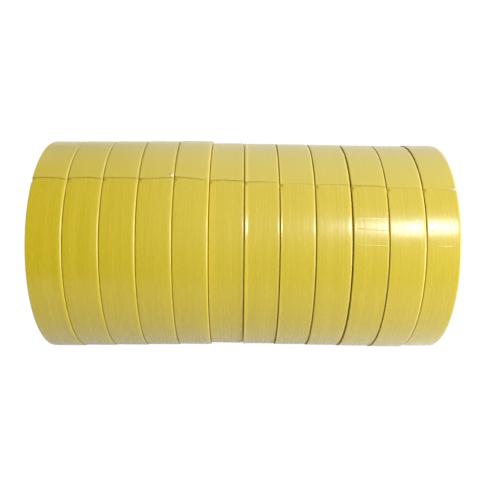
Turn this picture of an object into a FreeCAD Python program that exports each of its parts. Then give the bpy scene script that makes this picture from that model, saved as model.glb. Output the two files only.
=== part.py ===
"""A sleeve of twelve masking tape rolls, lying side by side on their rims.

Frame: +X along the row of rolls, +Z up, origin on the floor under the middle of the row.
Each roll is three pieces: a spiral-wound paper core, the tape wound on it, and the tail, which
is the last stretch of the outermost turn and peels off the turn below it.
A section is drawn across the roll's axis, with angles anticlockwise about +X from the tape's
cut end. The outermost turn runs clockwise from the cut end: first the tail, to its root, and
then on round the roll, falling by one thickness until it passes under the cut end.
"""
import FreeCAD, Part
import math
import os
import Sketcher

ROLL_COUNT = 12
FIRST_BATCH_COUNT = 5
ORIGIN = (-1, 1)
FIRST_AXIS = -1
START, END, CENTRE = 1, 2, 3

# name, value in millimetres or degrees, what it is
SIZES = [
    ("tape_width", 18.0, "width of the tape"),
    ("roll_gap", 0.1, "air between neighbouring rolls"),
    ("core_recess", 0.45, "how far the core's ends lie inside the tape's sides"),
    ("core_bore", 76.2, "bore of the paper core, three inches"),
    ("core_wall", 3.0, "wall of the paper core"),
    ("tape_thickness", 0.12, "one layer of crepe paper and adhesive"),
    ("tail_clearance", 0.02, "air between the tail and the turn below it"),
    ("tail_arc", 60.0, "how far round the roll the tail peels"),
    ("first_diameter", 119.6, "first batch: diameter over the tail"),
    ("first_offset", -1.0, "first batch: sideways place of its first roll"),
    ("first_offset_step", 0.45, "first batch: further offset of each next roll"),
    ("first_cut", 109.1, "first batch: cut end of its first roll, from +Y round +X"),
    ("first_cut_step", 0.06, "first batch: further turn of each next cut end"),
    ("second_diameter", 118.0, "second batch: diameter over the tail"),
    ("second_offset", 1.7, "second batch: sideways place of its first roll"),
    ("second_offset_step", -0.38, "second batch: further offset of each next roll"),
    ("last_offset", 1.1, "further offset of the very last roll, which lies a little back"),
    ("second_cut", 109.9, "second batch: cut end of its first roll, from +Y round +X"),
    ("second_cut_step", 0.55, "second batch: further turn of each next cut end"),
]


def make_sheet(document):
    """The driving dimensions, one to a row: what it is, then its value with its alias."""
    sheet = document.addObject("Spreadsheet::Sheet", "Sizes")
    for row, (name, value, meaning) in enumerate(SIZES, start=1):
        sheet.set(f"A{row}", meaning)
        sheet.set(f"B{row}", str(value))
        sheet.setAlias(f"B{row}", name)
    document.recompute()


def batch_of(number):
    """The batch that a roll belongs to, and its place in that batch, counted from 0."""
    if number <= FIRST_BATCH_COUNT:
        return "first", number - 1
    return "second", number - 1 - FIRST_BATCH_COUNT


def rim_radius(number):
    """Expression for the radius over a roll's tail."""
    return f"Sizes.{batch_of(number)[0]}_diameter / 2"


def under_radius(number):
    """Expression for the radius of the turn that the tail lies on."""
    return f"{rim_radius(number)} - Sizes.tape_thickness"


def new_piece(document, label):
    """An empty body, and a sketch across the roll's axis on the body's own YZ plane."""
    body = document.addObject("PartDesign::Body", label)
    body.Label = label
    sketch = body.newObject("Sketcher::SketchObject", f"{label}_section")
    plane = next(item for item in body.Origin.OriginFeatures if item.Role == "YZ_Plane")
    sketch.AttachmentSupport = [(plane, "")]
    sketch.MapMode = "FlatFace"
    return body, sketch


def drive(sketch, name, expression, kind, edge):
    """Adds a named dimension to one edge, which follows an expression of the sheet."""
    value = sketch.evalExpression(expression)
    number = value.Value if hasattr(value, "Value") else value
    if kind == "Angle":
        number = math.radians(number)
    index = sketch.addConstraint(Sketcher.Constraint(kind, edge, number))
    sketch.renameConstraint(index, name)
    sketch.setExpression(f"Constraints.{name}", expression)


def join(sketch, first, second):
    """Makes two points coincide, each given as (edge, end)."""
    sketch.addConstraint(Sketcher.Constraint("Coincident", *first, *second))


def put_on(sketch, spot, line):
    """Keeps a point, given as (edge, end), on a line."""
    sketch.addConstraint(Sketcher.Constraint("PointOnObject", *spot, line))


def polar(radius, degrees):
    """A point of a section."""
    angle = math.radians(degrees)
    return FreeCAD.Vector(radius * math.cos(angle), radius * math.sin(angle), 0)


def add_circle(sketch, name, diameter):
    """A circle about the roll's axis."""
    radius = sketch.evalExpression(diameter) / 2
    edge = sketch.addGeometry(Part.Circle(polar(0, 0), FreeCAD.Vector(0, 0, 1), radius))
    join(sketch, (edge, CENTRE), ORIGIN)
    drive(sketch, name, diameter, "Diameter", edge)


def add_arc(sketch, centre, radius, low, high):
    """An anticlockwise arc between two angles in degrees, not yet constrained."""
    rim = Part.Circle(centre, FreeCAD.Vector(0, 0, 1), radius)
    return sketch.addGeometry(Part.ArcOfCircle(rim, math.radians(low), math.radians(high)))


def add_tail_arc(sketch, name, radius, root_ray):
    """An arc about the roll's axis, from the tail's root to the cut end."""
    size = sketch.evalExpression(radius)
    arc = sketch.evalExpression("Sizes.tail_arc")
    edge = add_arc(sketch, polar(0, 0), size, -arc, 0)
    join(sketch, (edge, CENTRE), ORIGIN)
    put_on(sketch, (edge, START), root_ray)
    put_on(sketch, (edge, END), FIRST_AXIS)
    drive(sketch, name, radius, "Radius", edge)
    return edge


def add_root_ray(sketch, radius):
    """A construction line from the axis out through the tail's root."""
    far = polar(sketch.evalExpression(radius), -sketch.evalExpression("Sizes.tail_arc"))
    line = sketch.addGeometry(Part.LineSegment(polar(0, 0), far), True)
    join(sketch, (line, START), ORIGIN)
    drive(sketch, "root_radius", radius, "Distance", line)
    drive(sketch, "root_angle", "-Sizes.tail_arc * 1 deg", "Angle", line)
    return line


def add_line(sketch, first, second, ends):
    """A straight edge between two points, joined to a pair of other edges' ends."""
    line = sketch.addGeometry(Part.LineSegment(first, second))
    join(sketch, (line, START), ends[0])
    join(sketch, (line, END), ends[1])
    return line


def pad_across(body, sketch, width="Sizes.tape_width"):
    """Pads a section to a width, half to each side of the roll's middle plane."""
    pad = body.newObject("PartDesign::Pad", f"{body.Label}_width")
    pad.Profile = sketch
    pad.Midplane = True
    pad.setExpression("Length", width)


def place(body, number):
    """Stands a piece at its roll's place in the row, turned to its roll's cut end."""
    batch, index = batch_of(number)
    middle = (ROLL_COUNT + 1) / 2
    turn = f"(Sizes.{batch}_cut + {index} * Sizes.{batch}_cut_step) * 1 deg"
    pitch = "(Sizes.tape_width + Sizes.roll_gap)"
    body.Placement = FreeCAD.Placement(
        FreeCAD.Vector(0, 0, 0), FreeCAD.Rotation(FreeCAD.Vector(1, 0, 0), 90)
    )
    body.setExpression("Placement.Rotation.Angle", turn)
    body.setExpression("Placement.Base.x", f"{number - middle} * {pitch}")
    offset = f"Sizes.{batch}_offset + {index} * Sizes.{batch}_offset_step"
    if number == ROLL_COUNT:
        offset += " + Sizes.last_offset"
    body.setExpression("Placement.Base.y", offset)
    # the roll stands on its outermost turn, halfway down its fall of one thickness
    body.setExpression("Placement.Base.z", f"{rim_radius(number)} - Sizes.tape_thickness / 2")


def make_core(document, number):
    """The paper core, a plain tube, a little shorter than the tape is wide."""
    body, sketch = new_piece(document, f"roll_{number:02d}_core")
    add_circle(sketch, "bore", "Sizes.core_bore")
    add_circle(sketch, "outside", "Sizes.core_bore + 2 * Sizes.core_wall")
    pad_across(body, sketch, "Sizes.tape_width - 2 * Sizes.core_recess")
    place(body, number)
    return body


def make_tape(document, number):
    """The wound tape, without its tail: a ring whose rim steps out at the tail's root."""
    body, sketch = new_piece(document, f"roll_{number:02d}_tape")
    rim = sketch.evalExpression(rim_radius(number))
    under = sketch.evalExpression(under_radius(number))
    arc = sketch.evalExpression("Sizes.tail_arc")
    add_circle(sketch, "inside", "Sizes.core_bore + 2 * Sizes.core_wall")
    ray = add_root_ray(sketch, rim_radius(number))
    bed = add_tail_arc(sketch, "bed", under_radius(number), ray)
    # the falling turn is one arc, its centre a little off the axis, from the bed up to the root
    turn_radius = f"{rim_radius(number)} - Sizes.tape_thickness / 2"
    turn = add_arc(sketch, polar(0, 0), sketch.evalExpression(turn_radius), 0, 360 - arc)
    drive(sketch, "turn_radius", turn_radius, "Radius", turn)
    join(sketch, (turn, START), (bed, END))
    join(sketch, (turn, END), (ray, END))
    add_line(sketch, polar(under, -arc), polar(rim, -arc), [(bed, START), (turn, END)])
    pad_across(body, sketch)
    place(body, number)
    return body


def make_tail(document, number):
    """The tail, one thickness of tape from its root to the cut end."""
    body, sketch = new_piece(document, f"roll_{number:02d}_tail")
    rim = sketch.evalExpression(rim_radius(number))
    glue_radius = f"{under_radius(number)} + Sizes.tail_clearance"
    glue = sketch.evalExpression(glue_radius)
    arc = sketch.evalExpression("Sizes.tail_arc")
    ray = add_root_ray(sketch, rim_radius(number))
    back = add_tail_arc(sketch, "back", rim_radius(number), ray)
    face = add_tail_arc(sketch, "glue_face", glue_radius, ray)
    add_line(sketch, polar(glue, -arc), polar(rim, -arc), [(face, START), (back, START)])
    add_line(sketch, polar(glue, 0), polar(rim, 0), [(face, END), (back, END)])
    pad_across(body, sketch)
    place(body, number)
    return body


def check(document, bodies):
    """Stops if anything failed to recompute, or a piece isn't one valid solid."""
    for item in document.Objects:
        if "Invalid" in item.State or "Error" in item.State:
            raise RuntimeError(f"{item.Name} failed: {item.State}")
    for body in bodies:
        if body.Shape.isNull() or not body.Shape.isValid() or len(body.Shape.Solids) != 1:
            raise RuntimeError(f"{body.Label} isn't one valid solid")


def main():
    document = FreeCAD.newDocument("masking_tape_rolls")
    make_sheet(document)
    bodies = []
    for number in range(1, ROLL_COUNT + 1):
        bodies.append(make_core(document, number))
        bodies.append(make_tape(document, number))
        bodies.append(make_tail(document, number))
    document.recompute()
    check(document, bodies)
    os.makedirs("parts", exist_ok=True)
    for body in bodies:
        body.Shape.exportStep(os.path.join("parts", f"{body.Label}.step"))
        print(f"{body.Label}: {body.Shape.Volume / 1000:.3f} cm3")


main()
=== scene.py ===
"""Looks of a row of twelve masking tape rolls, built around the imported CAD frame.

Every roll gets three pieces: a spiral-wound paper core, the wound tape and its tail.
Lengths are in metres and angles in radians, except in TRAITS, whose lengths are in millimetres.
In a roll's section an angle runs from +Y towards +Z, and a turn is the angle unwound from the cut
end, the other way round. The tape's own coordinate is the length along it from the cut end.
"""
import math
import bpy
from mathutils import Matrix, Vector
from mathutils import noise


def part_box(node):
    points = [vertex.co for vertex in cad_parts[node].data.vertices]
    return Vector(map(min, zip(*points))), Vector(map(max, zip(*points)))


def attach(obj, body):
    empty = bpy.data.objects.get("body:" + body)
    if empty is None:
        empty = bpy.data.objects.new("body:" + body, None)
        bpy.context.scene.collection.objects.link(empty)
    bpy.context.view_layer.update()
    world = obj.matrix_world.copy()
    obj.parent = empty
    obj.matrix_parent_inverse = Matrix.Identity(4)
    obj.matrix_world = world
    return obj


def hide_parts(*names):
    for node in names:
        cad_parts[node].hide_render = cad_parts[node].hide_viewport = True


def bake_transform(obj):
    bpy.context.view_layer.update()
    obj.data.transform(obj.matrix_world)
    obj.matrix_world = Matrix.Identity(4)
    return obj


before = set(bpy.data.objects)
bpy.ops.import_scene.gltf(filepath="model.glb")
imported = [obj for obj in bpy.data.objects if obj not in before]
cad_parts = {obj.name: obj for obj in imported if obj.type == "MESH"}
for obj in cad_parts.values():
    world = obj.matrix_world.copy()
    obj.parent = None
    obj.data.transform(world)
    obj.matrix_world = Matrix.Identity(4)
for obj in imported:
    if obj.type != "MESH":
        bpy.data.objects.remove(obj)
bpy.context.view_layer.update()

MM = 0.001
FULL_TURN = 2 * math.pi
ROLL_COUNT = 12
# edges at least this sharp aren't shaded smooth
SHARP_ANGLE = math.radians(40)

# --- measures of the wound tape --------------------------------------------------------------

TAPE_THICKNESS = 0.20 * MM
# both edges of the rim are rounded, and between them it is slightly crowned
CROWN = 0.03 * MM
LEFT_ROUND = 0.40 * MM
RIGHT_ROUND = 0.80 * MM
# the outer part of the left rounding shows the turns' cut edges
LEFT_EDGE_BARE = 0.12 * MM
# before its rounding the right edge already falls gently
RIGHT_SLOPE_REACH = 2.0 * MM
RIGHT_SLOPE_FALL = 0.17 * MM

# points round the roll, and along each stretch of its section's outline
TURN_STEPS = 240
RIM_STEPS = 48
EDGE_STEPS = 7
SIDE_STEPS = 26
# the step up at the tail's root takes this share of a turn step
ROOT_STEP_SHARE = 0.02

# slack turns and thicker streaks, which run a long way round the roll: width of one across the
# tape, how fast they change round the roll, and their depth
SLACK_WIDTH, SLACK_RATE, SLACK_DEPTH = 5.0 * MM, 1.1, 0.020 * MM
STREAK_WIDTH, STREAK_RATE, STREAK_DEPTH = 1.3 * MM, 2.3, 0.008 * MM

# turns on the flat sides lie a little inside them: single turns, and whole bands of turns
SIDE_TURN_WIDTH, SIDE_TURN_DEPTH = 1.6 * MM, 0.10 * MM
SIDE_BAND_WIDTH, SIDE_BAND_RATE, SIDE_BAND_DEPTH = 7.0 * MM, 0.3, 0.08 * MM
# these keep the noise of the two sides apart
SIDE_TURN_APART = 9.7
SIDE_BAND_APART = 3.3
# next to the rim they fade out over this share of the side's height
SIDE_FADE = 1 / 12

# A crease is its arc beyond the cut end, its height, where it starts and stops across, and how
# much further down the tape it is where it stops. Every roll has this one next to its cut end.
END_MARK = (1.8 * MM, 0.035 * MM, 0.0, 18.0 * MM, 0.0)
CREASE_WIDTH = 0.32 * MM
# rows of points lie this close at a crease, from this far before it to as far beyond it
CREASE_ROW = 0.11 * MM
CREASE_MARGIN = 0.8 * MM
# a crease fades out at its ends, and it isn't quite straight
CREASE_FADE = 1.0 * MM
CREASE_WANDER = 0.15 * MM
CREASE_WANDER_WIDTH = 3.0 * MM
# from the cut end to its mark the turn below is paler, where the tail used to lie
PALE_STRIP = 1.8 * MM
PALE_STRIP_SOFT = 0.3 * MM
PALE_SHARE = 0.55
# below the tail's left corner the turn's edge is pressed in
DENT_PLACE = 1.0 * MM
DENT_DEPTH = 0.75 * MM
DENT_ALONG = 1.1 * MM
DENT_ACROSS = 0.85 * MM
# some rolls have a paler right edge: a painted highlight, where light from the right catches the
# rounding
EDGE_HIGHLIGHT_REACH = 1.35 * MM
EDGE_HIGHLIGHT_SOFT = 0.6 * MM

# --- measures of the tail --------------------------------------------------------------------

TAIL_INSET = 0.10 * MM
TAIL_STEPS = 64
TAIL_COLUMNS = 64
# its rows lie closer together near the cut end
TAIL_ROW_POWER = 1.6
# the strip is thinner than the step it fills, so that it stays clear of the turn below
TAIL_DEPTH = 0.9 * TAPE_THICKNESS
# it lies loose, except over the last 1 / LOOSE_SLOPE of its length, where this fades out
LOOSE_SLOPE = 2.2
# the cut end is ragged, which fades out over a reach along the tail
RAGGED = 0.16 * MM
RAGGED_WIDTH = 1.7 * MM
RAGGED_REACH = 8.0 * MM
# near its cut end the tail stands off the turn below
END_LIFT_REACH = 3.5 * MM
# a crumpled corner has its top this far in from both edges
CURL_PLACE = 1.3 * MM
CURL_REACH = 0.8 * MM
# round a crumpled corner a pale cream glint is painted, in patches: a painted highlight
CORNER_GLINT_ALONG = 0.8 * MM
CORNER_GLINT_ACROSS = 1.7 * MM
CORNER_GLINT_PATCH_ACROSS = 0.9 * MM
CORNER_GLINT_PATCH_ALONG = 0.5 * MM
CORNER_GLINT_STRENGTH = 1.1
CORNER_GLINT_LEAST = 0.15
# the length of a stretch next to the tail's root
PEEL_BEND = 14.0 * MM

# --- measures of the core --------------------------------------------------------------------

CORE_TURN_STEPS = 180
CORE_WIDTH_STEPS = 20
CORE_EDGE_STEPS = 3
CORE_WALL_STEPS = 8
CORE_SOFT_EDGE = 0.35 * MM
PLY_WIDTH = 62.0 * MM
PLY_ANGLE = math.radians(28)
PLY_SEAM_WIDTH = 0.45 * MM
PLY_SEAM_DEPTH = 0.22 * MM
# roughness of the bore and unevenness of the plies' cut edges: depth, and how fast they change per
# metre across and per radian round the roll
BORE_ROUGH_DEPTH, BORE_ROUGH_ACROSS, BORE_ROUGH_ROUND = 0.05 * MM, 900, 30
CUT_PLY_DEPTH, CUT_PLY_ACROSS, CUT_PLY_ROUND = 0.09 * MM, 2600, 0.6

# A roll's number, alone or times one of these, goes into every use of the noise, so that no two
# rolls match.
SEEDS = dict(
    slack=7.3, streaks=3.1, side_turns=5.9, side_bands=2.7, cut_end=4.1, ply_seam=2.1, cut_plies=1.7
)

# What differs from roll to roll. Lengths are in millimetres.
# end: how far the cut end runs past its nominal place, at its left edge, middle and right edge
# lift: how far the cut end stands off the turn below, at the same three places
# curl: how high the right corner is crumpled up
# left_gap, right_out: how far the left side lies inside the roll's nominal side, and the right
# side outside it
# left_round: the rounding of the left edge, where it isn't LEFT_ROUND
# left_lip: how far the left edge stands up, and the width of the slope beside it
# right_pale: how pale the right edge is painted, from 0 to 1, a painted highlight of light from the
# right
# creases: the same five values as END_MARK, for each crease
TRAITS = {
    1: dict(end=(-0.3, -0.4, 0.5), lift=(0.12, 0.22, 0.10)),
    2: dict(end=(0.3, -0.4, 0.2), lift=(0.16, 0.20, 0.12), left_gap=0.12),
    3: dict(end=(-0.2, -0.2, 0.0), lift=(0.20, 0.16, 0.22), left_gap=0.12),
    4: dict(end=(0.5, 0.2, -0.8), lift=(0.10, 0.16, 0.20), left_gap=0.12, curl=0.60),
    5: dict(end=(-0.7, 0.2, 1.4), lift=(0.20, 0.14, -0.12), left_gap=0.10),
    6: dict(end=(0.0, -0.1, 0.5), lift=(0.18, 0.20, 0.12), left_gap=0.14, right_pale=0.6),
    7: dict(
        end=(0.1, -0.1, 0.2), lift=(0.18, 0.10, -0.13), left_gap=0.08, left_round=0.30,
        left_lip=(0.30, 1.5), right_pale=0.6,
    ),
    8: dict(
        end=(0.5, -0.1, 0.6), lift=(-0.12, -0.12, -0.02), left_gap=0.02, left_round=0.26,
        left_lip=(0.14, 0.7), right_pale=0.6,
    ),
    9: dict(
        end=(-0.2, -0.4, -0.1), lift=(-0.07, -0.06, 0.0), left_gap=0.05, left_round=0.26,
        right_pale=0.5,
    ),
    10: dict(
        end=(-0.4, -0.5, -0.1), lift=(0.12, 0.14, -0.04), left_gap=0.25, right_out=0.32,
        right_pale=0.35,
        creases=(
            (17.4, 0.040, 1.0, 17.0, 0.3),
            (23.3, -0.045, 0.5, 16.5, 1.2),
            (31.6, 0.045, 0.5, 17.5, 0.4),
        ),
    ),
    11: dict(
        end=(-0.3, -0.1, -0.1), lift=(-0.06, -0.05, -0.08), left_gap=0.26, right_out=0.48,
        left_round=0.22, right_pale=0.4,
    ),
    12: dict(
        end=(-0.4, 0.0, 1.6), lift=(-0.12, -0.12, -0.04), left_gap=0.72, curl=0.45,
        creases=(
            (24.6, -0.050, 1.5, 5.5, -3.4),
            (31.1, 0.050, 4.0, 15.0, 0.2),
            (37.0, 0.020, 1.0, 14.0, 0.0),
        ),
    ),
}


class Roll:
    """One roll's measures, read from its CAD nodes."""

    def __init__(self, number):
        self.number = number
        self.body = f"roll_{number:02d}"
        self.tail_body = f"tail_{number:02d}"
        self.traits = TRAITS[number]
        self.creases = [tuple(v * MM for v in crease) for crease in self.traits.get("creases", ())]
        self.creases.append(END_MARK)
        core_low, core_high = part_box(f"{self.body}_core")
        tape_low, tape_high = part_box(f"{self.body}_tape")
        self.left = tape_low.x + self.length_trait("left_gap")
        self.right = tape_high.x + self.length_trait("right_out")
        self.left_round = self.length_trait("left_round", LEFT_ROUND)
        self.middle = (self.left + self.right) / 2
        self.half_width = (self.right - self.left) / 2
        self.core_left, self.core_right = core_low.x, core_high.x
        self.centre_y = (core_low.y + core_high.y) / 2
        self.centre_z = (core_low.z + core_high.z) / 2
        core = [self.polar(v.co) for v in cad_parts[f"{self.body}_core"].data.vertices]
        tail = [self.polar(v.co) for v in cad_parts[f"{self.body}_tail"].data.vertices]
        self.bore_radius = min(radius for radius, _ in core)
        self.core_radius = max(radius for radius, _ in core)
        self.rim_radius = max(radius for radius, _ in tail)
        self.root_angle = min(angle for _, angle in tail)
        self.cut_angle = max(angle for _, angle in tail)
        self.tail_angle = self.cut_angle - self.root_angle

    def length_trait(self, name, otherwise=0.0):
        """A length from TRAITS, in metres."""
        return self.traits[name] * MM if name in self.traits else otherwise

    def seed(self, use):
        return self.number * SEEDS[use]

    def across(self, x):
        """The share of the width to the left of x."""
        return (x - self.left) / (2 * self.half_width)

    def polar(self, co):
        y, z = co.y - self.centre_y, co.z - self.centre_z
        return math.hypot(y, z), math.atan2(z, y)

    def point(self, x, radius, angle):
        y = self.centre_y + radius * math.cos(angle)
        z = self.centre_z + radius * math.sin(angle)
        return Vector((x, y, z))

    def ring_radius(self, turn):
        """Radius of the ring's rim: one thickness lower under the tail, full from the tail's
        root, and falling back over the rest of the turn."""
        if turn < self.tail_angle:
            return self.rim_radius - TAPE_THICKNESS
        share = (turn - self.tail_angle) / (FULL_TURN - self.tail_angle)
        return self.rim_radius - TAPE_THICKNESS * share


# --- small functions -------------------------------------------------------------------------


def smooth(value):
    """Rises smoothly from 0 to 1 as the value does."""
    value = min(max(value, 0.0), 1.0)
    return value * value * (3 - 2 * value)


def hill(value, width):
    """A smooth bump of height 1 at 0."""
    return math.exp(-((value / width) ** 2))


def wander(*place):
    """Smooth noise, from about -1 to 1."""
    return noise.noise(Vector(place))


def half_wander(*place):
    """Smooth noise, from about 0 to 1."""
    return 0.5 + 0.5 * wander(*place)


def spread(low, high, steps):
    return [low + (high - low) * k / steps for k in range(steps + 1)]


def three_point(values, share):
    """A smooth curve through values at shares 0, one half and 1."""
    left, middle, right = values
    bend = 2 * (left + right) - 4 * middle
    return left + (right - left - bend) * share + bend * share**2


# --- shape of the rim ------------------------------------------------------------------------


def edge_fall(inward, rounding):
    """How far a rounded edge lies below the rim, by the distance in from the tape's side."""
    reach = min(max(rounding - inward, 0.0), rounding)
    return rounding - math.sqrt(rounding**2 - reach**2)


def lip_height(roll, from_left, angle):
    """How far a raised left edge stands up; the floor presses it flat."""
    if "left_lip" not in roll.traits:
        return 0.0
    lip, reach = (value * MM for value in roll.traits["left_lip"])
    slope = max(1 - max(from_left - roll.left_round, 0.0) / reach, 0.0)
    return lip * slope * smooth(2 * (1 + math.sin(angle)))


def rim_height(roll, x, angle):
    """How far the rim stands over its nominal radius, across the tape and round the roll."""
    from_left, from_right = x - roll.left, roll.right - x
    height = -edge_fall(from_left, roll.left_round) - edge_fall(from_right, RIGHT_ROUND)
    height -= RIGHT_SLOPE_FALL * max(1 - from_right / RIGHT_SLOPE_REACH, 0.0) ** 2
    across = (x - roll.middle) / roll.half_width
    height += CROWN * (1 - across * across)
    height += lip_height(roll, from_left, angle)
    slack = SLACK_DEPTH * wander(x / SLACK_WIDTH, angle * SLACK_RATE, roll.seed("slack"))
    streaks = STREAK_DEPTH * wander(x / STREAK_WIDTH, angle * STREAK_RATE, roll.seed("streaks"))
    calm_edges = smooth(min(from_left, from_right) / MM)
    return height + calm_edges * (slack + streaks)


def crease_height(roll, x, beyond):
    """Height of the dent and of the fine ridges across the tape, beyond the cut end."""
    height = -DENT_DEPTH * hill(beyond - DENT_PLACE, DENT_ALONG) * hill(x - roll.left, DENT_ACROSS)
    for place, rise, left, right, slant in roll.creases:
        from_start, from_stop = x - roll.left - left, roll.left + right - x
        inside = smooth(from_start / CREASE_FADE) * smooth(from_stop / CREASE_FADE)
        uneven = CREASE_WANDER * wander(x / CREASE_WANDER_WIDTH, roll.number, place / MM)
        share = from_start / (right - left)
        height += inside * rise * hill(beyond - place - slant * share + uneven, CREASE_WIDTH)
    return height


def side_recess(roll, radius, side, angle):
    """How far a turn's edge lies inside the roll's flat side: winding that wandered a little."""
    place = side * SIDE_TURN_APART
    turns = half_wander(radius / SIDE_TURN_WIDTH, place, roll.seed("side_turns"))
    place = side * SIDE_BAND_APART + angle * SIDE_BAND_RATE
    bands = half_wander(radius / SIDE_BAND_WIDTH, place, roll.seed("side_bands"))
    return SIDE_TURN_DEPTH * turns + SIDE_BAND_DEPTH * bands


def painted_edge_highlight(roll, x):
    """How far the colour turns to a painted highlight at the right edge, from 0 to 1."""
    share = smooth((EDGE_HIGHLIGHT_REACH - (roll.right - x)) / EDGE_HIGHLIGHT_SOFT)
    return roll.traits.get("right_pale", 0.0) * share


# --- meshes ----------------------------------------------------------------------------------


def finish_mesh(name, vertices, faces, uvs, materials, face_materials):
    """A smooth-shaded mesh object with a UV map given per face corner."""
    mesh = bpy.data.meshes.new(name)
    mesh.from_pydata(vertices, [], faces)
    layer = mesh.uv_layers.new(name="tape")
    layer.data.foreach_set("uv", [value for face in uvs for uv in face for value in uv])
    for material in materials:
        mesh.materials.append(material)
    mesh.polygons.foreach_set("material_index", face_materials)
    mesh.polygons.foreach_set("use_smooth", [True] * len(faces))
    mesh.set_sharp_from_angle(angle=SHARP_ANGLE)
    mesh.update()
    piece = bpy.data.objects.new(name, mesh)
    bpy.context.scene.collection.objects.link(piece)
    return piece


def set_shares(piece, name, values):
    """Stores a value from 0 to 1 per vertex, for the material to read."""
    piece.data.attributes.new(name, "FLOAT", "POINT").data.foreach_set("value", values)


def tube_faces(along, across, inward=False):
    """Faces and UVs of a tube closed both ways.

    A tube has rows of points. along and across hold the UVs of the rows and of a row's points,
    each with one value more for the place where the tube closes.
    """
    rows, count = len(along) - 1, len(across) - 1
    faces, uvs = [], []
    for j in range(rows):
        row, after = j * count, (j + 1) % rows * count
        for k in range(count):
            up = (k + 1) % count
            face = [row + k, row + up, after + up, after + k]
            uv = [
                (along[j], across[k]),
                (along[j], across[k + 1]),
                (along[j + 1], across[k + 1]),
                (along[j + 1], across[k]),
            ]
            if inward:
                face = face[:1] + face[:0:-1]
                uv = uv[:1] + uv[:0:-1]
            faces.append(face)
            uvs.append(uv)
    return faces, uvs


# --- the wound tape --------------------------------------------------------------------------


def tape_profile(roll):
    """The section's outline, from the left bore edge round to the right one.

    A point is (-1 or 1, share) on the left or right side, with the share of the way from the core
    to the rim, or (0, x) on the rim.
    """
    left_side = [(-1, share) for share in spread(0.0, 1.0, SIDE_STEPS)[:-1]]
    edge = [1 - math.cos(turn) for turn in spread(0.0, math.pi / 2, EDGE_STEPS)]
    rim = [roll.left + roll.left_round * share for share in edge]
    rim += spread(roll.left + roll.left_round, roll.right - RIGHT_ROUND, RIM_STEPS)[1:-1]
    rim += [roll.right - RIGHT_ROUND * share for share in reversed(edge)]
    right_side = [(1, share) for share in spread(1.0, 0.0, SIDE_STEPS)[1:]]
    return left_side + [(0, x) for x in rim] + right_side


def ring_turns(roll):
    """The turns at which the ring has a row of points."""
    turns = [FULL_TURN * k / TURN_STEPS for k in range(TURN_STEPS)]
    # the step up at the tail's root is two close rows
    step = FULL_TURN / TURN_STEPS * ROOT_STEP_SHARE
    turns += [roll.tail_angle - step, roll.tail_angle + step]
    # finer rows where the rim is creased
    for place, _, _, _, slant in roll.creases:
        first = place + min(slant, 0.0) - CREASE_MARGIN
        last = place + max(slant, 0.0) + CREASE_MARGIN
        rows = round((last - first) / CREASE_ROW)
        turns += [FULL_TURN - beyond / roll.rim_radius for beyond in spread(first, last, rows)]
    return sorted(set(turns))


def side_place(roll, side, share, base, angle):
    """x and radius of a point on a flat side."""
    flat = roll.left if side < 0 else roll.right
    rim_edge = base + rim_height(roll, flat, angle)
    radius = roll.core_radius + (rim_edge - roll.core_radius) * share
    inset = side_recess(roll, radius, side, angle) * smooth((1 - share) / SIDE_FADE)
    return flat - side * inset, radius


def make_tape(roll, backing, sides):
    """The wound tape as one closed ring, its outline carried round the roll."""
    profile = tape_profile(roll)
    count = len(profile)
    turns = ring_turns(roll)
    vertices, loose, edges = [], [], []
    for turn in turns:
        angle = roll.cut_angle - turn
        base = roll.ring_radius(turn)
        beyond = (FULL_TURN - turn) * roll.rim_radius
        bared = PALE_SHARE * (1 - smooth((beyond - PALE_STRIP) / PALE_STRIP_SOFT))
        for side, place in profile:
            if side:
                x, radius = side_place(roll, side, place, base, angle)
            else:
                x = place
                radius = base + rim_height(roll, x, angle) + crease_height(roll, x, beyond)
            vertices.append(roll.point(x, radius, angle))
            loose.append(0.0 if side else bared)
            # painted highlight: how pale the right edge is painted, where light from the right
            # catches it
            edges.append(0.0 if side else painted_edge_highlight(roll, x))
    along = [turn * roll.rim_radius + roll.number for turn in [*turns, FULL_TURN]]
    across = [0.0]
    for low, high in zip(vertices[:count], vertices[1:count]):
        across.append(across[-1] + (high - low).length)
    across.append(across[-1] + MM)
    faces, uvs = tube_faces(along, across)
    covered = [not side and x > roll.left + LEFT_EDGE_BARE for side, x in profile]
    kinds = [0 if covered[k] and covered[(k + 1) % count] else 1 for k in range(count)]
    kinds *= len(turns)
    piece = finish_mesh(f"{roll.body}_wound_tape", vertices, faces, uvs, (backing, sides), kinds)
    set_shares(piece, "loose", loose)
    set_shares(piece, "edge", edges)
    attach(piece, roll.body)
    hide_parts(f"{roll.body}_tape")


# --- the tail --------------------------------------------------------------------------------


def tail_lift(roll, x, from_cut):
    """How far the tail stands off the turn below it, near its cut end."""
    end = MM * three_point(roll.traits["lift"], roll.across(x))
    lift = end * (1 - smooth(from_cut / END_LIFT_REACH))
    corner = math.hypot(from_cut - CURL_PLACE, roll.right - CURL_PLACE - x)
    return lift + roll.length_trait("curl") * hill(corner, CURL_REACH)


def painted_corner_glint(roll, x, from_cut):
    """How far the colour turns to the painted glint round the corner, from 0 to 1."""
    if "curl" not in roll.traits:
        return 0.0
    along = hill(from_cut - CORNER_GLINT_ALONG, CORNER_GLINT_ALONG)
    across = hill(roll.right - CORNER_GLINT_ACROSS - x, CORNER_GLINT_ACROSS)
    patches = wander(x / CORNER_GLINT_PATCH_ACROSS, from_cut / CORNER_GLINT_PATCH_ALONG, roll.number)
    pale = (CORNER_GLINT_STRENGTH + patches) * along * across - CORNER_GLINT_LEAST
    return min(max(pale, 0.0), 1.0)


def cut_shift(roll, x):
    """How far the cut end runs past its nominal line, at one place across the tape."""
    ragged = RAGGED * wander(x / RAGGED_WIDTH, roll.seed("cut_end"), 0.5)
    return MM * three_point(roll.traits["end"], roll.across(x)) + ragged


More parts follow.
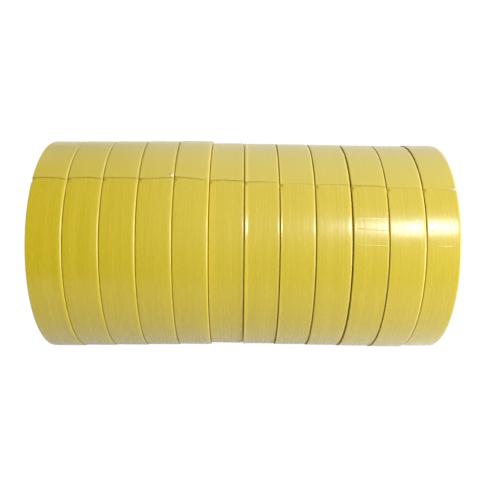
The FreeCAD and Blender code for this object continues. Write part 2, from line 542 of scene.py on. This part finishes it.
def strip_faces(wide):
    """Faces and materials of a thin strip, 0 on its top and 1 elsewhere.

    Its points are rows of so many across, for the whole top and then for the whole bottom.
    """
    below = (TAIL_STEPS + 1) * wide
    faces = []
    for j in range(TAIL_STEPS):
        row = j * wide
        for a in range(row, row + wide - 1):
            b, c, d = a + 1, a + 1 + wide, a + wide
            faces.append(((a, b, c, d), 0))
            faces.append(((a + below, d + below, c + below, b + below), 1))
        last = row + wide - 1
        faces.append(((row, row + wide, row + wide + below, row + below), 1))
        faces.append(((last, last + below, last + wide + below, last + wide), 1))
    for front in range(wide - 1):
        back = TAIL_STEPS * wide + front
        faces.append(((front, front + below, front + 1 + below, front + 1), 1))
        faces.append(((back, back + 1, back + 1 + below, back + below), 1))
    return [face for face, _ in faces], [kind for _, kind in faces]


def make_tail(roll, backing, glue):
    """The last stretch of the outermost turn, as a thin closed strip."""
    tail_length = roll.tail_angle * roll.rim_radius
    columns = spread(roll.left + TAIL_INSET, roll.right - TAIL_INSET, TAIL_COLUMNS)
    rows = [tail_length * (k / TAIL_STEPS) ** TAIL_ROW_POWER for k in range(TAIL_STEPS + 1)]
    top, bottom, places, corner_glint = [], [], [], []
    for from_cut in rows:
        for x in columns:
            # the root stays straight
            along = from_cut - cut_shift(roll, x) * (1 - smooth(from_cut / RAGGED_REACH))
            angle = roll.cut_angle - along / roll.rim_radius
            radius = roll.rim_radius + rim_height(roll, x, angle) + tail_lift(roll, x, from_cut)
            top.append(roll.point(x, radius, angle))
            bottom.append(roll.point(x, radius - TAIL_DEPTH, angle))
            places.append((along, x))
            # the share of the painted glint round the crumpled corner
            corner_glint.append(painted_corner_glint(roll, x, from_cut))
    faces, kinds = strip_faces(len(columns))
    # the UVs go on from the ring's, whose rim starts after its side and its rounded edge
    rim_start = (roll.rim_radius - roll.core_radius) + (math.pi / 2 - 1) * roll.left_round
    spots = [(along + roll.number, rim_start + (x - roll.left)) for along, x in places] * 2
    uvs = [[spots[index] for index in face] for face in faces]
    piece = finish_mesh(f"{roll.body}_tape_end", top + bottom, faces, uvs, (backing, glue), kinds)
    loose = [smooth(LOOSE_SLOPE * (1 - along / tail_length)) for along, _ in places]
    set_shares(piece, "loose", loose * 2)
    # the same painted highlight on the tail's right edge
    set_shares(piece, "edge", [painted_edge_highlight(roll, x) for _, x in places] * 2)
    set_shares(piece, "corner_glint", corner_glint * 2)
    bend = PEEL_BEND / roll.rim_radius
    start = roll.point(roll.middle, roll.rim_radius, roll.root_angle)
    end = roll.point(roll.middle, roll.rim_radius, roll.root_angle + bend)
    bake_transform(piece)
    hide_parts(f"{roll.body}_tail")


# --- the core --------------------------------------------------------------------------------


def core_outline(roll):
    """The section's outline as points (x, radius, whether it lies on a cut end of the tube)."""
    turns = spread(0.0, math.pi / 2, CORE_EDGE_STEPS)
    inward = [CORE_SOFT_EDGE * (1 - math.cos(turn)) for turn in turns]
    rise = [CORE_SOFT_EDGE * (1 - math.sin(turn)) for turn in turns]
    inner = spread(roll.core_left, roll.core_right, CORE_WIDTH_STEPS)[1:-1]
    bore = [(roll.core_left + x, d) for x, d in zip(inward, rise)]
    bore += [(x, 0.0) for x in inner]
    bore += [(roll.core_right - x, d) for x, d in zip(reversed(inward), reversed(rise))]
    wall = spread(CORE_SOFT_EDGE, roll.core_radius - roll.bore_radius, CORE_WALL_STEPS)[1:]
    outline = [(x, roll.bore_radius + d, False) for x, d in bore]
    outline += [(roll.core_right, roll.bore_radius + d, True) for d in wall]
    outline += [(roll.core_left, roll.bore_radius + d, True) for d in reversed(wall)]
    return outline


def core_point(roll, x, radius, cut, angle):
    """A point of the core: uneven plies on its cut ends, and ply seams and fibre in its bore."""
    if cut:
        plies = half_wander(radius * CUT_PLY_ACROSS, angle * CUT_PLY_ROUND, roll.seed("cut_plies"))
        inward = -1 if x > roll.middle else 1
        return roll.point(x + CUT_PLY_DEPTH * plies * inward, radius, angle)
    around = (angle + roll.seed("ply_seam")) * roll.bore_radius
    # distance from the nearest ply seam, square to the seam
    across = around * math.cos(PLY_ANGLE) + (x - roll.middle) * math.sin(PLY_ANGLE)
    seam = (across + PLY_WIDTH / 2) % PLY_WIDTH - PLY_WIDTH / 2
    groove = PLY_SEAM_DEPTH * hill(seam, PLY_SEAM_WIDTH)
    fibre = wander(x * BORE_ROUGH_ACROSS, angle * BORE_ROUGH_ROUND, roll.number)
    return roll.point(x, radius + groove + BORE_ROUGH_DEPTH * fibre, angle)


def make_core(roll, inside, ends):
    """The paper core: a tube with softened edges and the shallow helical seam of its plies."""
    outline = core_outline(roll)
    angles = spread(0.0, FULL_TURN, CORE_TURN_STEPS)
    vertices = [core_point(roll, *place, angle) for angle in angles[:-1] for place in outline]
    along = [angle * roll.bore_radius for angle in angles]
    across = [x + radius for x, radius, _ in [*outline, outline[0]]]
    faces, uvs = tube_faces(along, across, inward=True)
    cut = [place[2] for place in [*outline, outline[0]]]
    kinds = [1 if here and following else 0 for here, following in zip(cut, cut[1:])]
    kinds *= CORE_TURN_STEPS
    piece = finish_mesh(f"{roll.body}_paper_core", vertices, faces, uvs, (inside, ends), kinds)
    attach(piece, roll.body)
    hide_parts(f"{roll.body}_core")


# --- materials -------------------------------------------------------------------------------

DEEP_YELLOW = (0.625, 0.472, 0.000)
PALE_YELLOW = (0.675, 0.520, 0.012)
LOOSE_YELLOW = (0.650, 0.515, 0.045)
# colours of painted highlights: the right edges' paler yellow and the glint round crumpled corners
EDGE_HIGHLIGHT_YELLOW = (0.920, 0.700, 0.110)
CORNER_GLINT_CREAM = (0.86, 0.80, 0.58)
COAT_TINT = (0.76, 0.88, 1.0, 1.0)
SIDE_DARK = (0.50, 0.36, 0.02)
SIDE_LIGHT = (0.72, 0.57, 0.09)
GLUE_DARK = (0.42, 0.30, 0.06)
GLUE_LIGHT = (0.56, 0.42, 0.12)
BORE_DARK = (0.30, 0.22, 0.14)
BORE_LIGHT = (0.46, 0.36, 0.25)
PLY_DARK = (0.24, 0.17, 0.10)
PLY_LIGHT = (0.50, 0.39, 0.27)

# fineness of the noise: cycles per metre along the tape and across it
FINE_STREAKS = (22.0, 950.0)
BROAD_STREAKS = (9.0, 230.0)
CREPE = (1500.0, 900.0)
SPECKS = (520.0, 640.0)
GLOSS_PATCHES = (160.0, 1300.0)
SIDE_TURNS = (3.0, 5200.0)
SIDE_BANDS = (2.0, 420.0)
GLUE_SPOTS = (900.0, 900.0)
BORE_FIBRE = (400.0, 400.0)
CUT_PLIES = (60.0, 4200.0)
BOARD_CLOUDS = (60.0, 60.0)

# the backing's middle roughness, and how far it varies in all
COAT_ROUGHNESS = 0.255
COAT_ROUGHNESS_SPAN = 0.15
# where the tape lies loose, the share of its unevenness that is missing, and how far its colour
# turns to LOOSE_YELLOW
LOOSE_SMOOTHNESS = 0.8
LOOSE_COLOUR_SHARE = 0.7


class Nodes:
    """Short calls for building the node tree of a material or of the world."""

    def __init__(self, owner):
        self.owner = owner
        owner.use_nodes = True
        self.tree = owner.node_tree
        self.shader = self.tree.nodes.get("Principled BSDF")

    def add(self, kind, **settings):
        node = self.tree.nodes.new(kind)
        for key, value in settings.items():
            setattr(node, key, value)
        return node

    def link(self, output, socket):
        self.tree.links.new(output, socket)

    def feed(self, socket, value):
        """Links an output to the socket, or sets a plain value there."""
        if isinstance(value, bpy.types.NodeSocket):
            self.link(value, socket)
        else:
            socket.default_value = value

    def set(self, socket, value):
        self.feed(self.shader.inputs[socket], value)

    def math(self, operation, first, second):
        node = self.add("ShaderNodeMath", operation=operation)
        self.feed(node.inputs[0], first)
        self.feed(node.inputs[1], second)
        return node.outputs[0]

    def weighted(self, *terms):
        """The sum of values, each times its weight."""
        parts = [self.math("MULTIPLY", value, weight) for value, weight in terms]
        total = parts[0]
        for part in parts[1:]:
            total = self.math("ADD", total, part)
        return total

    def noise(self, fineness, detail=2.0, roughness=0.5):
        """Noise in the tape's own coordinates."""
        source = self.add("ShaderNodeUVMap", uv_map="tape")
        scale = self.add("ShaderNodeVectorMath", operation="MULTIPLY")
        self.link(source.outputs["UV"], scale.inputs[0])
        scale.inputs[1].default_value = (*fineness, 1.0)
        node = self.add("ShaderNodeTexNoise")
        node.inputs["Scale"].default_value = 1.0
        node.inputs["Detail"].default_value = detail
        node.inputs["Roughness"].default_value = roughness
        self.link(scale.outputs[0], node.inputs["Vector"])
        return node.outputs["Fac"]

    def map_range(self, value, source, result=(0.0, 1.0), soft=False):
        """Maps a value from one range to another, with soft ends if asked for."""
        node = self.add("ShaderNodeMapRange")
        node.interpolation_type = "SMOOTHSTEP" if soft else "LINEAR"
        node.inputs["From Min"].default_value, node.inputs["From Max"].default_value = source
        node.inputs["To Min"].default_value, node.inputs["To Max"].default_value = result
        self.link(value, node.inputs["Value"])
        return node.outputs["Result"]

    def mix(self, share, first, second):
        node = self.add("ShaderNodeMix", data_type="RGBA")
        self.feed(node.inputs[0], share)
        for socket, colour in ((node.inputs[6], first), (node.inputs[7], second)):
            self.feed(socket, (*colour, 1.0) if isinstance(colour, tuple) else colour)
        return node.outputs[2]

    def share(self, name):
        """A value that set_shares stored."""
        return self.add("ShaderNodeAttribute", attribute_name=name).outputs["Fac"]

    def camera_ray(self):
        return self.add("ShaderNodeLightPath").outputs["Is Camera Ray"]

    def bump(self, height, distance):
        node = self.add("ShaderNodeBump")
        node.inputs["Distance"].default_value = distance
        node.inputs["Strength"].default_value = 1.0
        self.link(height, node.inputs["Height"])
        self.set("Normal", node.outputs["Normal"])


def new_material(name):
    return Nodes(bpy.data.materials.new(name))


def tape_backing():
    """Smooth crepe backing: fine streaks along the tape under a thin release coat."""
    nodes = new_material("tape_backing")
    fine = nodes.noise(FINE_STREAKS, detail=4.0, roughness=0.62)
    broad = nodes.noise(BROAD_STREAKS)
    crepe = nodes.noise(CREPE)
    specks = nodes.map_range(nodes.noise(SPECKS, detail=1.0), (0.60, 0.72))
    streaks = nodes.map_range(nodes.weighted((fine, 0.6), (broad, 0.4)), (0.38, 0.62))
    loose = nodes.share("loose")
    colour = nodes.mix(streaks, DEEP_YELLOW, PALE_YELLOW)
    colour = nodes.mix(nodes.math("MULTIPLY", loose, LOOSE_COLOUR_SHARE), colour, LOOSE_YELLOW)
    # painted highlights: paler yellow on the right edges, where light from the right catches them,
    # and a cream glint round the crumpled corners
    colour = nodes.mix(nodes.share("edge"), colour, EDGE_HIGHLIGHT_YELLOW)
    colour = nodes.mix(nodes.share("corner_glint"), colour, CORNER_GLINT_CREAM)
    nodes.set("Base Color", colour)
    nodes.set("Specular IOR Level", 0.92)
    nodes.set("Specular Tint", COAT_TINT)
    nodes.set("Sheen Weight", 0.6)
    nodes.set("Sheen Roughness", 0.45)
    # the tail, lying loose, is smoother than the tight turns below it
    taut = nodes.math("SUBTRACT", 1.0, nodes.math("MULTIPLY", loose, LOOSE_SMOOTHNESS))
    patchy = nodes.noise(GLOSS_PATCHES, detail=3.0, roughness=0.6)
    dull = nodes.map_range(nodes.weighted((fine, 0.5), (patchy, 0.5)), (0.36, 0.64))
    dull = nodes.math("MULTIPLY", nodes.math("SUBTRACT", dull, 0.5), taut)
    rough = nodes.math("ADD", nodes.math("MULTIPLY", dull, COAT_ROUGHNESS_SPAN), COAT_ROUGHNESS)
    nodes.set("Roughness", rough)
    height = nodes.weighted((fine, 0.6), (crepe, 0.3), (specks, -0.35))
    nodes.bump(nodes.math("MULTIPLY", height, taut), 0.03 * MM)
    return nodes.owner


def tape_sides():
    """Edges of the turns on a roll's flat side: close rings, paper between thin glue lines."""
    nodes = new_material("tape_sides")
    rings = nodes.noise(SIDE_TURNS, detail=3.0, roughness=0.7)
    bands = nodes.noise(SIDE_BANDS)
    share = nodes.map_range(nodes.weighted((rings, 0.6), (bands, 0.4)), (0.34, 0.66))
    nodes.set("Base Color", nodes.mix(share, SIDE_DARK, SIDE_LIGHT))
    nodes.set("Roughness", 0.62)
    nodes.set("Specular IOR Level", 0.2)
    nodes.bump(rings, 0.12 * MM)
    return nodes.owner


def glue_face():
    """The tape's adhesive side and its cut edge: duller and browner than the backing."""
    nodes = new_material("tape_glue_face")
    spots = nodes.noise(GLUE_SPOTS, detail=3.0)
    share = nodes.map_range(spots, (0.3, 0.7))
    nodes.set("Base Color", nodes.mix(share, GLUE_DARK, GLUE_LIGHT))
    nodes.set("Roughness", 0.5)
    nodes.bump(spots, 0.04 * MM)
    return nodes.owner


def core_paper(name, dark, light, fineness):
    """Grey-brown core board, fibrous, with the plies' lines where it is cut."""
    nodes = new_material(name)
    fibre = nodes.noise(fineness, detail=4.0, roughness=0.65)
    clouds = nodes.noise(BOARD_CLOUDS)
    share = nodes.map_range(nodes.weighted((fibre, 0.7), (clouds, 0.3)), (0.3, 0.7))
    nodes.set("Base Color", nodes.mix(share, dark, light))
    nodes.set("Roughness", 0.85)
    nodes.set("Specular IOR Level", 0.25)
    nodes.bump(fibre, 0.15 * MM)
    return nodes.owner


# --- stage -----------------------------------------------------------------------------------

# the camera looks at the row's middle from in front and above, with a slight turn about its line
# of sight
CAMERA_ELEVATION = math.radians(37)
CAMERA_DISTANCE = 0.3482
CAMERA_LENS = 42.97
CAMERA_SENSOR = 36
CAMERA_TURN = math.radians(0.48)
CAMERA_X = -0.0012
CAMERA_SHIFT_X = 0.0046
CAMERA_SHIFT_Y = 0.0009
# a square floor this far each way, just below the rolls, with paint that is duller on the left
# and brighter on the right: painted shade and light, as if more light fell on the right
FLOOR_REACH = 6.0
FLOOR_DROP = 0.02 * MM
FLOOR_SHADED_LEFT = (0.53, 0.53, 0.53)
FLOOR_LIT_RIGHT = (0.62, 0.62, 0.62)
FLOOR_BRIGHTENS = (-0.14, 0.10)
FLOOR_GLOW = 1.02
# azimuth, elevation, distance, size and power, all from the right end of the row
LIGHTS = {
    "key": (27, 53, 0.80, (0.16, 0.14), 1.95),
    "right": (60, 15, 0.50, (0.40, 0.30), 1.6),
    "behind": (-125, 25, 1.20, (0.80, 0.50), 1.3),
}
# directions are unit vectors: the room is dark to the left of the camera
ROOM_DARK_LEFT = (-0.28, -0.03)
ROOM_LEFT_LEVEL = 0.04
# it is brighter overhead than at the horizon
ROOM_HEIGHTS = (0.15, 0.85)
ROOM_LEVELS = (0.52, 0.92)
# and it has a bright wall on the right
ROOM_RIGHT_WALL = (0.55, 0.85)
ROOM_WALL_LEVEL = 1.5


def make_camera(target):
    data = bpy.data.cameras.new("camera")
    data.lens = CAMERA_LENS
    data.sensor_width = CAMERA_SENSOR
    data.shift_x = CAMERA_SHIFT_X
    data.shift_y = CAMERA_SHIFT_Y
    camera = bpy.data.objects.new("camera", data)
    back = Vector((0, -math.cos(CAMERA_ELEVATION), math.sin(CAMERA_ELEVATION)))
    camera.location = target + back * CAMERA_DISTANCE
    camera.rotation_mode = "XYZ"
    camera.rotation_euler = (math.pi / 2 - CAMERA_ELEVATION, 0, 0)
    camera.rotation_euler.rotate_axis("Z", CAMERA_TURN)
    bpy.context.scene.collection.objects.link(camera)
    bpy.context.scene.camera = camera


def floor_paint():
    """An overexposed studio floor: the camera sees it nearly white, and the rolls see its paint.
    Its paint is darker on the left and brighter on the right: painted shade and light.
    """
    nodes = new_material("pale_floor")
    place = nodes.add("ShaderNodeSeparateXYZ")
    nodes.link(nodes.add("ShaderNodeTexCoord").outputs["Object"], place.inputs[0])
    # painted light: the paint brightens from left to right, as if more light fell on the right
    share = nodes.map_range(place.outputs["X"], FLOOR_BRIGHTENS)
    nodes.set("Base Color", nodes.mix(share, FLOOR_SHADED_LEFT, FLOOR_LIT_RIGHT))
    nodes.set("Roughness", 0.9)
    nodes.set("Specular IOR Level", 0.0)
    glow = nodes.add("ShaderNodeEmission")
    glow.inputs["Strength"].default_value = FLOOR_GLOW
    both = nodes.add("ShaderNodeMixShader")
    nodes.link(nodes.camera_ray(), both.inputs[0])
    nodes.link(nodes.shader.outputs[0], both.inputs[1])
    nodes.link(glow.outputs[0], both.inputs[2])
    nodes.link(both.outputs[0], nodes.tree.nodes["Material Output"].inputs["Surface"])
    return nodes.owner


def make_floor():
    far = FLOOR_REACH
    corners = [(-far, -far, 0), (far, -far, 0), (far, far, 0), (-far, far, 0)]
    mesh = bpy.data.meshes.new("floor")
    mesh.from_pydata(corners, [], [(0, 1, 2, 3)])
    mesh.materials.append(floor_paint())
    floor = bpy.data.objects.new("floor", mesh)
    floor.location.z = -FLOOR_DROP
    bpy.context.scene.collection.objects.link(floor)


def add_light(name, aim, azimuth, elevation, distance, size, power):
    """A soft rectangular light facing aim, azimuth degrees to the right of the camera's side."""
    turn, rise = math.radians(azimuth), math.radians(elevation)
    away = Vector(
        (math.cos(rise) * math.sin(turn), -math.cos(rise) * math.cos(turn), math.sin(rise))
    )
    data = bpy.data.lights.new(name, "AREA")
    data.shape = "RECTANGLE"
    data.size, data.size_y = size
    data.energy = power
    light = bpy.data.objects.new(name, data)
    light.location = aim + away * distance
    light.rotation_mode = "QUATERNION"
    light.rotation_quaternion = (-away).to_track_quat("-Z", "Y")
    light.visible_camera = False
    bpy.context.scene.collection.objects.link(light)


def make_world():
    """A soft room round the stage, by direction; the camera itself sees it plain and pale."""
    world = bpy.data.worlds.new("studio")
    bpy.context.scene.world = world
    nodes = Nodes(world)
    direction = nodes.add("ShaderNodeSeparateXYZ")
    nodes.link(nodes.add("ShaderNodeTexCoord").outputs["Generated"], direction.inputs[0])
    x, z = direction.outputs["X"], direction.outputs["Z"]
    side = nodes.map_range(x, ROOM_DARK_LEFT, (ROOM_LEFT_LEVEL, 1.0), soft=True)
    height = nodes.map_range(z, ROOM_HEIGHTS, ROOM_LEVELS, soft=True)
    wall = nodes.map_range(x, ROOM_RIGHT_WALL, (0.0, ROOM_WALL_LEVEL), soft=True)
    room = nodes.math("ADD", nodes.math("MULTIPLY", side, height), wall)
    background = nodes.tree.nodes["Background"]
    nodes.link(nodes.math("MAXIMUM", room, nodes.camera_ray()), background.inputs["Strength"])
    background.inputs["Color"].default_value = (1, 1, 1, 1)


def make_stage(rolls):
    middle_z = sum(roll.centre_z for roll in rolls) / len(rolls)
    make_camera(Vector((CAMERA_X, 0, middle_z)))
    make_floor()
    make_world()
    right_end = Vector((rolls[-1].middle, 0, middle_z))
    for name, (azimuth, elevation, distance, size, power) in LIGHTS.items():
        add_light(name, right_end, azimuth, elevation, distance, size, power)
    bpy.context.scene.view_settings.view_transform = "Standard"


def main():
    rolls = [Roll(number) for number in range(1, ROLL_COUNT + 1)]
    make_stage(rolls)
    backing, sides, glue = tape_backing(), tape_sides(), glue_face()
    inside = core_paper("core_inside", BORE_DARK, BORE_LIGHT, BORE_FIBRE)
    ends = core_paper("core_ends", PLY_DARK, PLY_LIGHT, CUT_PLIES)
    for roll in rolls:
        make_core(roll, inside, ends)
        make_tape(roll, backing, sides)
        make_tail(roll, backing, glue)


main()
